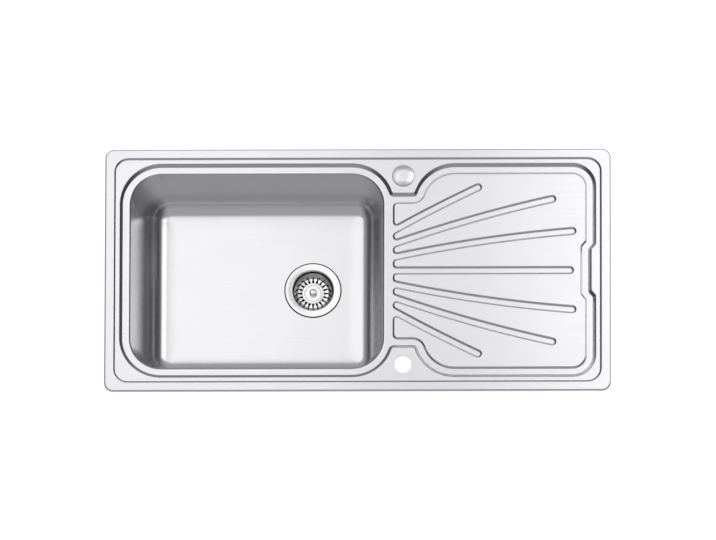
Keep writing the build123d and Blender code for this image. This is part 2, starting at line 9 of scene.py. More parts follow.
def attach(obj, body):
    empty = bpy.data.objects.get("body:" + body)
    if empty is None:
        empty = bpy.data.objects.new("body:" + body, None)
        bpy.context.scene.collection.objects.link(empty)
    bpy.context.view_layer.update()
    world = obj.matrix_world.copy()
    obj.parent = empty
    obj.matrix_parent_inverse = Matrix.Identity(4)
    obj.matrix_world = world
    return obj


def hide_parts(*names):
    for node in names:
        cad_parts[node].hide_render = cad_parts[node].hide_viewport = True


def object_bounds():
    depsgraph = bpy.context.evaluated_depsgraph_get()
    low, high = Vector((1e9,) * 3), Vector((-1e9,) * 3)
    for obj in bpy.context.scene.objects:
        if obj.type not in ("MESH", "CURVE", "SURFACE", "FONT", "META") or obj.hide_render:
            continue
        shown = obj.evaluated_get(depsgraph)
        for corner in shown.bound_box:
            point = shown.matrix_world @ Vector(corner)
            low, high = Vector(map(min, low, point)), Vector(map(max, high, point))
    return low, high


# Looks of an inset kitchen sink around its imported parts: the pressed deck and the drawn
# bowl as fine smooth meshes, the strainer, and the finish of every piece.
# Metres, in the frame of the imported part: the worktop's plane is z = 0.

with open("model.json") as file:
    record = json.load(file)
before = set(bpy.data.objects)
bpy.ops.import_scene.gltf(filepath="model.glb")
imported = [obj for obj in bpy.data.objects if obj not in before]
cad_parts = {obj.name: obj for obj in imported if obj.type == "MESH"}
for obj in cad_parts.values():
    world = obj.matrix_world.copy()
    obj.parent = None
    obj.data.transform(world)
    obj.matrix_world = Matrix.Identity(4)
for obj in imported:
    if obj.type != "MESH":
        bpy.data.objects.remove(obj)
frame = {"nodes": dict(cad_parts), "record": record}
nodes = frame["nodes"]
cad_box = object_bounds()

# ---- Sizes --------------------------------------------------------------------------

SHEET = 0.001
GUARD = 0.0004  # flat strip beside every bend, which keeps the flats shaded flat
ARC_STEP = math.radians(5)
RUN_STEP = 0.012  # along the long bends of the grooves
SHARP_ANGLE = math.radians(35)
BEND_STEPS = 6

RIM_LEVEL = 0.005
DECK_LEVEL = 0.002
CHANNEL_LEVEL = -0.004
PLATEAU_LEVEL = -0.001
DECK_LENGTH = 1.0
DECK_WIDTH = 0.5
DECK_CORNER = 0.018
RIM_ROUND = 0.0025
RIM_BAND = 0.0195
RIM_STEP_CORNER = 0.027
STEP_BEND = 0.0022  # bend radius at the head and foot of a pressed step

WELL_X = 0.468
WELL_Y = 0.218
WELL_CORNER = 0.08  # round the bowl and the tap islands
WELL_CORNER_Y = 0.138
WELL_DRAINER_CORNER = 0.044
WELL_BOWL_X = -0.388  # centres of the arcs round the bowl
WELL_ISLAND_X = -0.012
WELL_DRAINER_X = 0.192
ISLAND_EDGE = 0.157
ISLAND_CORNER = 0.008
JOG_DEPTH = 0.009
JOG_TOP = 0.054
JOG_BOTTOM = 0.0435
JOG_CORNER = 0.005

PLATEAU_MARGIN = 0.017
PLATEAU_CORNER = 0.008
MOUTH_X = 0.071
FINGER_ROUND = 0.006
GROOVE_WIDTH = 0.013
GROOVE_BEND = 2.7
GROOVE_START_X = 0.062
GROOVE_PITCH = 0.026
MIDDLE_GROOVE_END = 0.41908
GROOVE_ENDS = [(0.42402, 0.081), (0.38412, 0.14753), (0.23744, 0.17206)]

BOWL_X = -0.2
BOWL_HALF_LENGTH = 0.25
BOWL_HALF_WIDTH = 0.2
BOWL_CORNER = 0.062
BOWL_FLANGE = 0.006
BOWL_LIP = 0.004
BOWL_DRAFT = math.radians(8.2)
BOWL_FOOT = 0.036
BOWL_LEAN = Vector((0.013, 0.007))  # how far the floor lies off the middle of the opening
BOWL_SQUEEZE = 0.009  # how far each end wall leans in besides its draft
BOWL_FLOOR = -0.15
DISH_RISE = 0.0011  # of the floor's edge, above its flat middle
DISH_SLOPE = math.radians(5.5)
DISH_SHARE = 0.15  # of the floor's half length and half width

TAP_X = 0.09
TAP_Y = 0.195
TAP_HOLE = 0.0175
HOLE_ROUND = 0.0006

WASTE_X = -0.091
WASTE_Y = 0.005
SEAT_RADIUS = 0.0565
SEAT_DEPTH = 0.003
SEAT_ROUND = 0.0006
SEAT_INNER = 0.0435

CUP_FLANGE = 0.0544
SEAL_INNER = 0.045
SEAL_SWELL = 0.0004  # above the underside of the flange
SEAL_EDGE = 0.0001  # from the flange to the top of the swell
SEAL_BEND = 0.0002
CUP_THROAT = 0.041
CUP_FOOT = 0.034
CUP_SEAT_TOP = 0.008
CUP_SEAT_FOOT = 0.023
CUP_DEPTH = 0.038
CUP_BEND = 0.0015
CUP_BOTTOM_BEND = 0.003
BASKET_RIM = 0.0385
BASKET_RIM_DEPTH = 0.007
BASKET_WALL_FOOT = 0.031
BASKET_LOW = 0.023
BASKET_FLOOR = 0.020
BASKET_SHEET = 0.0008
BASKET_BEND = 0.0012
HUB_RISE = 0.0015  # above the slotted floor
HUB_FOOT_GAP = 0.0005  # from the foot of the hub to the slots
HUB_BEND = 0.0004
BASKET_HUB = 0.0212
BASKET_HUB_RING = 0.0164
HUB_GROOVE = 0.0012  # its depth and half its width
SLOT_IN = 0.0216
SLOT_OUT = 0.0305
SLOT_WIDE = 0.0052
SLOT_NARROW = 0.0022
SLOT_ROUND = 0.001
SLOT_CUT = 0.012  # height of the wedges that cut the slots
SLOTS = 20
KNOB_FOOT = 0.005
KNOB_NECK = 0.0042
KNOB_NECK_HEIGHT = 0.003
KNOB_NECK_BEND = 0.0015
KNOB_RADIUS = 0.007
KNOB_EDGE_FOOT = 0.007  # levels of the head's upright edge above the hub
KNOB_EDGE_TOP = 0.0088
KNOB_EDGE_BENDS = (0.0006, 0.0008)
KNOB_SHOULDER = 0.0049
KNOB_SHOULDER_HEIGHT = 0.0099
KNOB_CROWN_BEND = 0.002
KNOB_HEIGHT = 0.0105

CAP_RADIUS = 0.0222
CAP_HEIGHT = 0.0042
CAP_EDGE = 0.0026
CAP_EDGE_BEND = 0.0014
CAP_SHOULDER = (0.55, 0.92)  # shares of the cover's radius and height
CAP_CROWN_BEND = 0.02
STUD_RADIUS = 0.003
STUD_LENGTH = 0.032
TURN_STEPS = 96  # round the turned pieces
MERGE_REACH = 0.0001  # radius of the ring that is merged in the middle

# ---- Outlines -----------------------------------------------------------------------
# An outline runs clockwise and is a list of arcs joined by straight lines. An arc is its
# centre, radius, start and end angle. It bulges out where it runs clockwise.


def quarter(x, y, radius, start):
    """Arc of a convex corner."""
    return (x, y, radius, start, start - math.pi / 2)


def rounded_rectangle(x, half_length, half_width, radius):
    """Outline of a rounded rectangle round (x, 0)."""
    dx = half_length - radius
    dy = half_width - radius
    return [
        quarter(x - dx, dy, radius, math.pi),
        quarter(x + dx, dy, radius, math.pi / 2),
        quarter(x + dx, -dy, radius, 0),
        quarter(x - dx, -dy, radius, -math.pi / 2),
    ]


def circle(x, y, radius):
    """Outline of a circle."""
    return [(x, y, radius, math.pi, -math.pi)]


def mirrored(arcs):
    """The same arcs below the X axis, in the order that keeps the outline clockwise."""
    return [(x, -y, radius, -end, -start) for x, y, radius, start, end in reversed(arcs)]


def island_arcs(inset):
    """Arcs of the outline under the back tap island, drawn in by inset."""
    around = WELL_CORNER - inset
    corner = ISLAND_CORNER + inset
    corner_y = ISLAND_EDGE - inset + corner
    rise = corner_y - WELL_CORNER_Y
    run = math.sqrt((around + corner) ** 2 - rise**2)
    lean = math.atan2(rise, run)
    return [
        (WELL_ISLAND_X, WELL_CORNER_Y, around, math.pi / 2, lean),
        (WELL_ISLAND_X + run, corner_y, corner, lean + math.pi, 1.5 * math.pi),
        (WELL_DRAINER_X - run, corner_y, corner, 1.5 * math.pi, 2 * math.pi - lean),
        (WELL_DRAINER_X, WELL_CORNER_Y, around, math.pi - lean, math.pi / 2),
    ]


def right_end_arcs(inset):
    """Arcs of the back right corner and of the jog, drawn in by inset."""
    right = WELL_X - inset
    corner = WELL_DRAINER_CORNER
    lean = math.atan2(JOG_DEPTH, JOG_TOP - JOG_BOTTOM)
    shift = inset * math.tan(lean / 2)
    reach = JOG_CORNER * math.tan(lean / 2)
    return [
        quarter(WELL_X - corner, WELL_Y - corner, corner - inset, math.pi / 2),
        (right - JOG_CORNER, JOG_TOP + shift + reach, JOG_CORNER, 0, -lean),
        (
            right - JOG_DEPTH + JOG_CORNER,
            JOG_BOTTOM + shift - reach,
            JOG_CORNER,
            math.pi - lean,
            math.pi,
        ),
    ]


def well_outline():
    """Outline of the well round the bowl and the drainboard."""
    back = [quarter(WELL_BOWL_X, WELL_CORNER_Y, WELL_CORNER, math.pi)]
    back += island_arcs(0) + right_end_arcs(0)
    return back + mirrored(back)


def groove_arcs(number, side):
    """Arcs into and out of one groove, going up: finger corner, side, end, side, finger corner."""
    half = GROOVE_WIDTH / 2
    start = Vector((GROOVE_START_X, number * GROOVE_PITCH))
    end = Vector(GROOVE_ENDS[number - 1])
    chord = end - start
    across = Vector((chord.y, -chord.x)).normalized()
    height = math.sqrt(GROOVE_BEND**2 - chord.length_squared / 4)
    center = (start + end) / 2 + across * height
    arcs = []
    corner_x = MOUTH_X + FINGER_ROUND
    for radius, corner_side in ((GROOVE_BEND - half, -1), (GROOVE_BEND + half, 1)):
        reach = radius + corner_side * FINGER_ROUND
        corner_y = center.y + math.sqrt(reach**2 - (corner_x - center.x) ** 2)
        turn = math.atan2(corner_y - center.y, corner_x - center.x)
        arcs.append((radius, corner_y, turn))
    end_turn = math.atan2(end.y - center.y, end.x - center.x)
    (low, low_y, low_turn), (high, high_y, high_turn) = arcs
    path = [
        (corner_x, low_y, FINGER_ROUND, math.pi, low_turn),
        (center.x, center.y, low, low_turn, end_turn),
        (end.x, end.y, half, end_turn - math.pi, end_turn),
        (center.x, center.y, high, end_turn, high_turn),
        (corner_x, high_y, FINGER_ROUND, high_turn + math.pi, math.pi),
    ]
    return path if side > 0 else mirrored(path)


def middle_groove_arcs():
    """Arcs into and out of the straight middle groove, going up."""
    edge = GROOVE_WIDTH / 2 + FINGER_ROUND
    corner_x = MOUTH_X + FINGER_ROUND
    return [
        (corner_x, -edge, FINGER_ROUND, math.pi, math.pi / 2),
        (MIDDLE_GROOVE_END, 0, GROOVE_WIDTH / 2, -math.pi / 2, math.pi / 2),
        (corner_x, edge, FINGER_ROUND, 1.5 * math.pi, math.pi),
    ]


def plateau_outline():
    """Outline of the raised drainboard, with the grooves let in from its left edge."""
    back = [
        quarter(
            MOUTH_X + PLATEAU_CORNER,
            ISLAND_EDGE - PLATEAU_MARGIN - PLATEAU_CORNER,
            PLATEAU_CORNER,
            math.pi,
        )
    ]
    back += island_arcs(PLATEAU_MARGIN)[2:] + right_end_arcs(PLATEAU_MARGIN)
    outline = back + mirrored(back)
    for number in (3, 2, 1):
        outline += groove_arcs(number, -1)
    outline += middle_groove_arcs()
    for number in (1, 2, 3):
        outline += groove_arcs(number, 1)
    return outline


def arc_point(arc, share, inset):
    """Point of an arc that is drawn in by inset, at a share of the way along it."""
    x, y, radius, start, end = arc
    reach = radius - inset if end < start else radius + inset
    angle = start + (end - start) * share
    return Vector((x + reach * math.cos(angle), y + reach * math.sin(angle)))


def outline_points(outline, inset):
    """Points of an outline that is drawn in by inset, as many for every inset."""
    points = []
    last = arc_point(outline[-1], 1, 0)
    for arc in outline:
        radius, turn = arc[2], abs(arc[4] - arc[3])
        steps = max(2, math.ceil(turn / ARC_STEP), math.ceil(turn * radius / RUN_STEP))
        meets = (arc_point(arc, 0, 0) - last).length < GUARD
        for step in range(1 if meets else 0, steps + 1):
            points.append(arc_point(arc, step / steps, inset))
        last = arc_point(arc, 1, 0)
    return points


# ---- Pressed forms ------------------------------------------------------------------


def step_profile(top, bottom):
    """Pairs of inset and level down a 45 degree step with bends at its head and foot."""
    half_run = (top - bottom) / 2 + STEP_BEND * math.tan(math.pi / 8)
    pairs = [(-half_run - GUARD, top)]
    turns = [math.pi / 4 * step / BEND_STEPS for step in range(BEND_STEPS + 1)]
    for turn in turns:
        drop = STEP_BEND * (1 - math.cos(turn))
        pairs.append((-half_run + STEP_BEND * math.sin(turn), top - drop))
    for turn in reversed(turns):
        rise = STEP_BEND * (1 - math.cos(turn))
        pairs.append((half_run - STEP_BEND * math.sin(turn), bottom + rise))
    pairs.append((half_run + GUARD, bottom))
    return pairs


def add_band(mesh, outline, profile):
    """Adds the wall that follows an outline through the pairs of a profile, and gives its ends."""
    rings = [
        [mesh.verts.new((x, y, level)) for x, y in outline_points(outline, inset)]
        for inset, level in profile
    ]
    count = len(rings[0])
    for first, second in zip(rings, rings[1:]):
        for i in range(count):
            j = (i + 1) % count
            mesh.faces.new((first[i], first[j], second[j], second[i]))
    return rings[0], rings[-1]


def fill_flat(mesh, *rings):
    """Fills the level area between rings of vertices."""
    edges = []
    for ring in rings:
        for first, second in zip(ring, ring[1:] + ring[:1]):
            edge = mesh.edges.get((first, second)) or mesh.edges.new((first, second))
            edges.append(edge)
    bmesh.ops.triangle_fill(mesh, edges=edges, use_beauty=True, normal=(0, 0, 1))


def pressed_piece(name, mesh):
    """Object of a pressed sheet whose outer skin is the mesh."""
    bmesh.ops.recalc_face_normals(mesh, faces=mesh.faces)
    highest = max(mesh.faces, key=lambda face: face.calc_center_median().z)
    if highest.normal.z < 0:
        bmesh.ops.reverse_faces(mesh, faces=mesh.faces)
    data = bpy.data.meshes.new(name)
    mesh.to_mesh(data)
    mesh.free()
    piece = bpy.data.objects.new(name, data)
    bpy.context.scene.collection.objects.link(piece)
    wall = piece.modifiers.new("wall", "SOLIDIFY")
    wall.thickness = SHEET
    wall.offset = -1
    apply_modifiers(piece)
    return smoothed(piece)


def pick(piece):
    """Selects one piece alone and makes it the active one."""
    bpy.ops.object.select_all(action="DESELECT")
    piece.select_set(True)
    bpy.context.view_layer.objects.active = piece


def apply_modifiers(piece):
    """Applies every modifier of a piece."""
    pick(piece)
    for modifier in list(piece.modifiers):
        bpy.ops.object.modifier_apply(modifier=modifier.name)


def smoothed(piece):
    """Shades a piece smooth but for its sharp edges."""
    pick(piece)
    bpy.ops.object.shade_smooth_by_angle(angle=SHARP_ANGLE)
    return piece


def punched_hole(mesh, x, y):
    """Adds the rounded edge of a hole through the deck, and gives its outer ring."""
    hole = circle(x, y, TAP_HOLE)
    profile = [(-HOLE_ROUND - GUARD, DECK_LEVEL)]
    for step in range(BEND_STEPS + 1):
        turn = math.pi / 2 * step / BEND_STEPS
        inset = HOLE_ROUND * (math.sin(turn) - 1)
        profile.append((inset, DECK_LEVEL - HOLE_ROUND * (1 - math.cos(turn))))
    outer, _ = add_band(mesh, hole, profile)
    return outer


def make_deck():
    """Deck: rolled rim, step down to the deck, well, drainboard with its grooves, tap holes."""
    mesh = bmesh.new()
    edge = rounded_rectangle(0, DECK_LENGTH / 2, DECK_WIDTH / 2, DECK_CORNER)
    profile = [(0, 0)]
    for step in range(BEND_STEPS + 1):
        turn = math.pi / 2 * step / BEND_STEPS
        inset = RIM_ROUND * (1 - math.cos(turn))
        profile.append((inset, RIM_LEVEL - RIM_ROUND * (1 - math.sin(turn))))
    profile.append((RIM_ROUND + GUARD, RIM_LEVEL))
    _, rim_outer = add_band(mesh, edge, profile)
    rim_step = rounded_rectangle(
        0, DECK_LENGTH / 2 - RIM_BAND, DECK_WIDTH / 2 - RIM_BAND, RIM_STEP_CORNER
    )
    rim_inner, deck_outer = add_band(mesh, rim_step, step_profile(RIM_LEVEL, DECK_LEVEL))
    well_outer, channel_outer = add_band(
        mesh, well_outline(), step_profile(DECK_LEVEL, CHANNEL_LEVEL)
    )
    rise = [(-inset, level) for inset, level in step_profile(PLATEAU_LEVEL, CHANNEL_LEVEL)][::-1]
    plateau_foot, plateau_head = add_band(mesh, plateau_outline(), rise)
    opening = rounded_rectangle(BOWL_X, BOWL_HALF_LENGTH, BOWL_HALF_WIDTH, BOWL_CORNER)
    bowl_edge, _ = add_band(
        mesh, opening, [(-BOWL_FLANGE - GUARD, CHANNEL_LEVEL), (-BOWL_FLANGE, CHANNEL_LEVEL)]
    )
    holes = [punched_hole(mesh, TAP_X, side * TAP_Y) for side in (1, -1)]
    fill_flat(mesh, rim_outer, rim_inner)
    fill_flat(mesh, deck_outer, well_outer, *holes)
    fill_flat(mesh, channel_outer, plateau_foot, bowl_edge)
    fill_flat(mesh, plateau_head)
    return pressed_piece("deck_pressing", mesh)


def add_dish(mesh, edge):
    """Adds the shallow slope from the foot of the bowl's walls to its flat floor, and gives its end."""
    middle = Vector((BOWL_X, 0, BOWL_FLOOR))
    last = edge
    for step in range(1, BEND_STEPS + 1):
        share = step / BEND_STEPS
        reach = 1 - share * DISH_SHARE
        shrink = Vector((reach, reach, (1 - share) ** 2))
        ring = [mesh.verts.new(middle + (vert.co - middle) * shrink) for vert in edge]
        for i in range(len(edge)):
            mesh.faces.new((last[i - 1], last[i], ring[i], ring[i - 1]))
        last = ring
    return last


def make_bowl():
    """Bowl: flange, rolled lip, drafted walls, rounded foot and the seat of the strainer."""
    mesh = bmesh.new()
    opening = rounded_rectangle(BOWL_X, BOWL_HALF_LENGTH, BOWL_HALF_WIDTH, BOWL_CORNER)
    lean = math.pi / 2 - BOWL_DRAFT
    lip_x = -BOWL_LIP * math.tan(lean / 2)
    profile = [(-BOWL_FLANGE, CHANNEL_LEVEL)]
    for step in range(2 * BEND_STEPS + 1):
        turn = lean * step / (2 * BEND_STEPS)
        drop = BOWL_LIP * (1 - math.cos(turn))
        profile.append((lip_x + BOWL_LIP * math.sin(turn), CHANNEL_LEVEL - drop))
    foot_level = BOWL_FLOOR + DISH_RISE
    foot_x = (CHANNEL_LEVEL - foot_level) * math.tan(BOWL_DRAFT) + BOWL_FOOT * math.tan(lean / 2)
    for step in range(3 * BEND_STEPS + 1):
        turn = lean + (DISH_SLOPE - lean) * step / (3 * BEND_STEPS)
        rise = BOWL_FOOT * (1 - math.cos(turn))
        profile.append((foot_x - BOWL_FOOT * math.sin(turn), foot_level + rise))
    _, wall_foot = add_band(mesh, opening, profile)
    floor_edge = add_dish(mesh, wall_foot)
    for vert in mesh.verts:
        depth = (CHANNEL_LEVEL - vert.co.z) / (CHANNEL_LEVEL - BOWL_FLOOR)
        off_middle = (vert.co.x - BOWL_X) / BOWL_HALF_LENGTH
        vert.co.x += depth * (BOWL_LEAN.x - BOWL_SQUEEZE * off_middle)
        vert.co.y += depth * BOWL_LEAN.y
    seat = circle(WASTE_X, WASTE_Y, SEAT_RADIUS)
    seat_profile = [(-SEAT_ROUND - GUARD, BOWL_FLOOR)]
    for step in range(BEND_STEPS + 1):
        turn = math.pi / 2 * step / BEND_STEPS
        inset = SEAT_ROUND * (math.sin(turn) - 1)
        seat_profile.append((inset, BOWL_FLOOR - SEAT_ROUND * (1 - math.cos(turn))))
    seat_profile.append((0, BOWL_FLOOR - SEAT_DEPTH))
    seat_profile.append((SEAT_RADIUS - SEAT_INNER, BOWL_FLOOR - SEAT_DEPTH))
    seat_edge, _ = add_band(mesh, seat, seat_profile)
    fill_flat(mesh, floor_edge, seat_edge)
    return pressed_piece("bowl_pressing", mesh)


# ---- Turned pieces ------------------------------------------------------------------
# A profile is a list of corners from the rim to the middle: radius, level, bend radius.


def bent(profile):
    """Points of a profile with each corner that has a bend radius rounded by an arc."""
    points = []
    for i, (radius, level, bend) in enumerate(profile):
        corner = Vector((radius, level))
        if not bend:
            points.append(corner)
            continue
        into = (Vector(profile[i - 1][:2]) - corner).normalized()
        out = (Vector(profile[i + 1][:2]) - corner).normalized()
        half = into.angle(out) / 2
        middle = corner + (into + out).normalized() * bend / math.sin(half)
        first = corner + into * bend / math.tan(half) - middle
        last = corner + out * bend / math.tan(half) - middle
        for step in range(BEND_STEPS + 1):
            points.append(middle + bend * first.slerp(last, step / BEND_STEPS).normalized())
    return points


def turned(name, x, y, profile):
    """Piece that is turned round the vertical through (x, y).

    A profile that ends in the middle is merged there, and any other is joined to its start.
    """
    points = bent(profile)
    start = points[0]
    bpy.ops.object.select_all(action="DESELECT")
    bpy.ops.mesh.primitive_circle_add(
        vertices=TURN_STEPS, radius=start.x, fill_type="NOTHING", location=(x, y, start.y)
    )
    piece = bpy.context.object
    piece.name = name
    bpy.ops.object.transform_apply(location=True)
    bpy.ops.object.mode_set(mode="EDIT")
    bpy.ops.mesh.select_mode(type="EDGE")
    bpy.ops.mesh.select_all(action="SELECT")
    for last, point in zip(points, points[1:]):
        bpy.ops.mesh.extrude_edges_move(
            TRANSFORM_OT_translate={"value": (0, 0, point.y - last.y)}
        )
        share = max(point.x, MERGE_REACH) / last.x
        bpy.ops.transform.resize(
            value=(share, share, 1), center_override=(x, y, point.y)
        )
    if points[-1].x:
        bpy.ops.mesh.select_all(action="DESELECT")
        bpy.ops.mesh.select_non_manifold()
        bpy.ops.mesh.bridge_edge_loops()
    else:
        bpy.ops.mesh.merge(type="CENTER")
    bpy.ops.mesh.select_all(action="SELECT")
    bpy.ops.mesh.normals_make_consistent(inside=False)
    bpy.ops.object.mode_set(mode="OBJECT")
    return piece


def close_foot(piece):
    """Closes the first ring of a turned piece with a flat face."""
    bpy.ops.object.mode_set(mode="EDIT")
    bpy.ops.mesh.select_all(action="DESELECT")
    bpy.ops.mesh.select_non_manifold()
    bpy.ops.mesh.edge_face_add()
    bpy.ops.mesh.select_all(action="SELECT")
    bpy.ops.mesh.normals_make_consistent(inside=False)
    bpy.ops.object.mode_set(mode="OBJECT")


def sheet_wall(piece, thickness):
    """Gives a turned skin its thickness, on the side away from its face."""
    wall = piece.modifiers.new("wall", "SOLIDIFY")
    wall.thickness = thickness
    wall.offset = -1
    apply_modifiers(piece)


def make_cup():
    """Cup of the strainer: wide flange, sloped seat and a flat bottom."""
    top = BOWL_FLOOR
    cup = turned(
        "cup_turning",
        WASTE_X,
        WASTE_Y,
        [
            (CUP_FLANGE, top, 0),
            (CUP_THROAT, top, CUP_BEND),
            (CUP_THROAT, top - CUP_SEAT_TOP, CUP_BEND),
            (CUP_FOOT, top - CUP_SEAT_FOOT, CUP_BEND),
            (CUP_FOOT, top - CUP_DEPTH, CUP_BOTTOM_BEND),
            (0, top - CUP_DEPTH, 0),
        ],
    )
    sheet_wall(cup, SHEET)
    return smoothed(cup)


def make_flange_seal():
    """Seal under the flange of the cup, pressed out round its edge."""
    under = BOWL_FLOOR - SHEET
    foot = BOWL_FLOOR - SEAT_DEPTH
    seal = turned(
        "flange_seal_ring",
        WASTE_X,
        WASTE_Y,
        [
            (SEAL_INNER, under, 0),
            (CUP_FLANGE, under, 0),
            (CUP_FLANGE + SEAL_EDGE, under + SEAL_SWELL, SEAL_BEND),
            (SEAT_RADIUS, under + SEAL_SWELL, SEAL_BEND),
            (SEAT_RADIUS, foot, 0),
            (SEAL_INNER, foot, 0),
        ],
    )
    return smoothed(seal)


def slot_cutters():
    """Wedges that cut the slots of the basket, narrow at the rim and wide at the hub."""
    middle = (SLOT_IN + SLOT_OUT) / 2
    bpy.ops.object.select_all(action="DESELECT")
    bpy.ops.mesh.primitive_cube_add(
        size=1, location=(WASTE_X + middle, WASTE_Y, BOWL_FLOOR - BASKET_LOW)
    )
    cutters = bpy.context.object
    cutters.name = "slot_cutters"
    bpy.ops.transform.resize(value=(SLOT_OUT - SLOT_IN, SLOT_WIDE, SLOT_CUT))
    bpy.ops.object.transform_apply(location=True, scale=True)
    bpy.ops.object.mode_set(mode="EDIT")
    bpy.ops.mesh.select_mode(type="FACE")
    bpy.ops.mesh.select_all(action="DESELECT")
    mesh = bmesh.from_edit_mesh(cutters.data)
    for face in mesh.faces:
        face.select = face.normal.x > 0.5
    bmesh.update_edit_mesh(cutters.data)
    bpy.ops.transform.resize(
        value=(1, SLOT_NARROW / SLOT_WIDE, 1), center_override=(WASTE_X + SLOT_OUT, WASTE_Y, 0)
    )
    bpy.ops.mesh.select_mode(type="EDGE")
    bpy.ops.mesh.select_all(action="DESELECT")
    mesh = bmesh.from_edit_mesh(cutters.data)
    for edge in mesh.edges:
        first, second = edge.verts
        edge.select = abs(first.co.z - second.co.z) > SLOT_CUT / 2
    bmesh.update_edit_mesh(cutters.data)
    bpy.ops.mesh.bevel(offset=SLOT_ROUND, segments=4)
    bpy.ops.object.mode_set(mode="OBJECT")
    center = Matrix.Translation((WASTE_X, WASTE_Y, 0))
    copies = []
    for number in range(1, SLOTS):
        copy = cutters.copy()
        copy.data = cutters.data.copy()
        bpy.context.scene.collection.objects.link(copy)
        turn = Matrix.Rotation(2 * math.pi * number / SLOTS, 4, "Z")
        copy.data.transform(center @ turn @ center.inverted())
        copies.append(copy)
    pick(cutters)
    for copy in copies:
        copy.select_set(True)
    bpy.ops.object.join()
    return cutters


def make_basket():
    """Basket of the strainer: sloped wall, slotted floor and a raised hub with a fine ring."""
    top = BOWL_FLOOR
    hub = top - BASKET_FLOOR
    floor = hub - HUB_RISE
    basket = turned(
        "basket_turning",
        WASTE_X,
        WASTE_Y,
        [
            (BASKET_RIM, top - BASKET_RIM_DEPTH, 0),
            (BASKET_WALL_FOOT, floor, BASKET_BEND),
            (SLOT_IN - HUB_FOOT_GAP, floor, 0),
            (BASKET_HUB, hub, HUB_BEND),
            (BASKET_HUB_RING + HUB_GROOVE, hub, 0),
            (BASKET_HUB_RING, hub - HUB_GROOVE, 0),
            (BASKET_HUB_RING - HUB_GROOVE, hub, 0),
            (0, hub, 0),
        ],
    )
    sheet_wall(basket, BASKET_SHEET)
    cutters = slot_cutters()
    slots = basket.modifiers.new("slots", "BOOLEAN")
    slots.operation = "DIFFERENCE"
    slots.object = cutters
    apply_modifiers(basket)
    bpy.data.objects.remove(cutters)
    return smoothed(basket)


def make_knob():
    """Knob of the basket: waisted neck under a rounded head."""
    foot = BOWL_FLOOR - BASKET_FLOOR
    lower_bend, upper_bend = KNOB_EDGE_BENDS
    knob = turned(
        "knob_turning",
        WASTE_X,
        WASTE_Y,
        [
            (KNOB_FOOT, foot, 0),
            (KNOB_NECK, foot + KNOB_NECK_HEIGHT, KNOB_NECK_BEND),
            (KNOB_RADIUS, foot + KNOB_EDGE_FOOT, lower_bend),
            (KNOB_RADIUS, foot + KNOB_EDGE_TOP, upper_bend),
            (KNOB_SHOULDER, foot + KNOB_SHOULDER_HEIGHT, KNOB_CROWN_BEND),
            (0, foot + KNOB_HEIGHT, 0),
        ],
    )
    close_foot(knob)
    return smoothed(knob)


def make_cap():
    """Cover of the back tap hole: low domed head on a long stud."""
    head = DECK_LEVEL
    across, up = CAP_SHOULDER
    cap = turned(
        "cap_turning",
        TAP_X,
        TAP_Y,
        [
            (STUD_RADIUS, head - STUD_LENGTH, 0),
            (STUD_RADIUS, head + SHEET, 0),
            (CAP_RADIUS - SHEET, head + SHEET, 0),
            (CAP_RADIUS - SHEET, head, 0),
            (CAP_RADIUS, head, 0),
            (CAP_RADIUS, head + CAP_EDGE, CAP_EDGE_BEND),
            (across * CAP_RADIUS, head + up * CAP_HEIGHT, CAP_CROWN_BEND),
            (0, head + CAP_HEIGHT, 0),
        ],
    )
    close_foot(cap)
    return smoothed(cap)


# ---- Finishes -----------------------------------------------------------------------

ALONG_X = (6, 1400, 1400)  # fineness of the brushed lines along each axis
FINE = (900, 900, 900)
NOISE_SPREAD = (0.3, 0.7)  # where nearly all of a noise lies
CLOUD_SCALE = 9.0
GRAIN_TONES = (0.965, 1.015)  # shares of a steel's colour in and between its lines
SHEEN_SPREAD = (0.96, 1.04)  # shares of a steel's roughness
GRAIN_DETAIL = 4.0
GRAIN_STRENGTH = 0.06
GRAIN_DEPTH = 0.00002
MOTTLE_SCALE = 40.0
MOTTLE_TONES = (0.85, 1.12)  # shares of a plastic's or rubber's colour
SKIN_DETAIL = 6.0
SKIN_STRENGTH = 0.35
# colour of the painted shade at the bottom of the strainer's cup
PAINTED_SHADE = (0.03, 0.03, 0.03)


def new_material(name, color, metallic, roughness):
    """Material with a plain shader, and the nodes that a finish starts from."""
    material = bpy.data.materials.new(name)
    material.use_nodes = True
    tree = material.node_tree
    shader = tree.nodes["Principled BSDF"]
    shader.inputs["Base Color"].default_value = (*color, 1)
    shader.inputs["Metallic"].default_value = metallic
    shader.inputs["Roughness"].default_value = roughness
    place = tree.nodes.new("ShaderNodeTexCoord").outputs["Object"]
    return material, tree, shader, place


def noise(tree, place, scale, stretch=(1, 1, 1), detail=3.0):
    """Noise over the object's coordinates, finer along the axes that stretch enlarges."""
    mapping = tree.nodes.new("ShaderNodeMapping")
    mapping.inputs["Scale"].default_value = stretch
    tree.links.new(place, mapping.inputs["Vector"])
    texture = tree.nodes.new("ShaderNodeTexNoise")
    texture.inputs["Scale"].default_value = scale
    texture.inputs["Detail"].default_value = detail
    tree.links.new(mapping.outputs["Vector"], texture.inputs["Vector"])
    return texture.outputs["Fac"]


def between(tree, factor, low, high):
    """Value that follows a factor from low to high."""
    remap = tree.nodes.new("ShaderNodeMapRange")
    remap.inputs["From Min"].default_value = NOISE_SPREAD[0]
    remap.inputs["From Max"].default_value = NOISE_SPREAD[1]
    remap.inputs["To Min"].default_value = low
    remap.inputs["To Max"].default_value = high
    tree.links.new(factor, remap.inputs["Value"])
    return remap.outputs["Result"]


